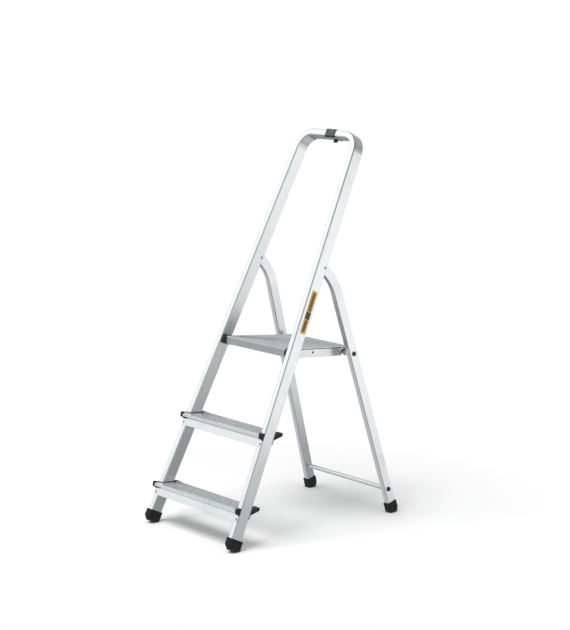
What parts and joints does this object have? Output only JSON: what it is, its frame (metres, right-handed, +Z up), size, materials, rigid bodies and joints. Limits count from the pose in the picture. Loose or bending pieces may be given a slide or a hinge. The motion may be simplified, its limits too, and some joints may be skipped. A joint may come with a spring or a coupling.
{
  "type": "folding platform step ladder",
  "caption": "Folding aluminium step ladder: bent-tube front frame with a hand hoop, ribbed treads, a hooked standing platform and rear legs that fold forward.",
  "frame": {"origin": "middle of the ladder's footprint box on the floor, in the open pose", "axes": "+Z up, +Y from the climbing side towards the rear legs, +X to the right of someone who looks along +Y"},
  "size_m": [0.4532, 0.7218, 1.2724],
  "materials": {
    "frame_aluminium": "satin drawn tube",
    "tread_aluminium": "satin extrusion",
    "deck_aluminium": "satin sheet",
    "rivet_metal": "bright rivet",
    "bar_metal": "zinc plated",
    "hook_metal": "dull plate",
    "black_plastic": "fine grained moulding",
    "black_rubber": "matt moulding"
  },
  "bodies": {
    "front_frame": {"front_hoop": "frame_aluminium", "hoop_clip": "black_plastic", "front_foot_left": "black_rubber", "front_foot_right": "black_rubber", "lower_tread": "tread_aluminium", "upper_tread": "tread_aluminium", "lower_tread_cap_left": "black_plastic", "lower_tread_cap_right": "black_plastic", "upper_tread_cap_left": "black_plastic", "upper_tread_cap_right": "black_plastic", "tread_front_rivets": "rivet_metal", "tread_rear_rivets": "rivet_metal", "leg_rivet_left": "rivet_metal", "leg_rivet_right": "rivet_metal", "platform_bush_left": "black_plastic", "platform_bush_right": "black_plastic", "platform_pin_left": "rivet_metal", "platform_pin_right": "rivet_metal"},
    "rear_frame": {"rear_leg_left": "frame_aluminium", "rear_leg_right": "frame_aluminium", "rear_foot_left": "black_rubber", "rear_foot_right": "black_rubber", "platform_bar": "bar_metal", "lower_bar": "bar_metal", "platform_tie_rod": "bar_metal", "lower_tie_rod": "bar_metal", "bar_washers": "bar_metal", "bar_caps": "black_plastic"},
    "platform": {"platform_deck": "deck_aluminium", "platform_side_left": "deck_aluminium", "platform_side_right": "deck_aluminium", "platform_hook_left": "hook_metal", "platform_hook_right": "hook_metal", "hook_liner_left": "black_plastic", "hook_liner_right": "black_plastic", "platform_rivets": "rivet_metal"}
  },
  "joints": [
    {"name": "rear_fold", "type": "hinge", "parent": "front_frame", "child": "rear_frame", "pos_m": [0, 0.07563, 0.84502], "axis": [-1, 0, 0], "range_deg": [0, 38.8]},
    {"name": "platform_lift", "type": "hinge", "parent": "front_frame", "child": "platform", "pos_m": [0, -0.06649, 0.58551], "axis": [1, 0, 0], "range_deg": [0, 67.9]}
  ],
  "couplings": [
    {"joint": "platform_lift", "follows": "rear_fold", "ratio": 1.75}
  ]
}
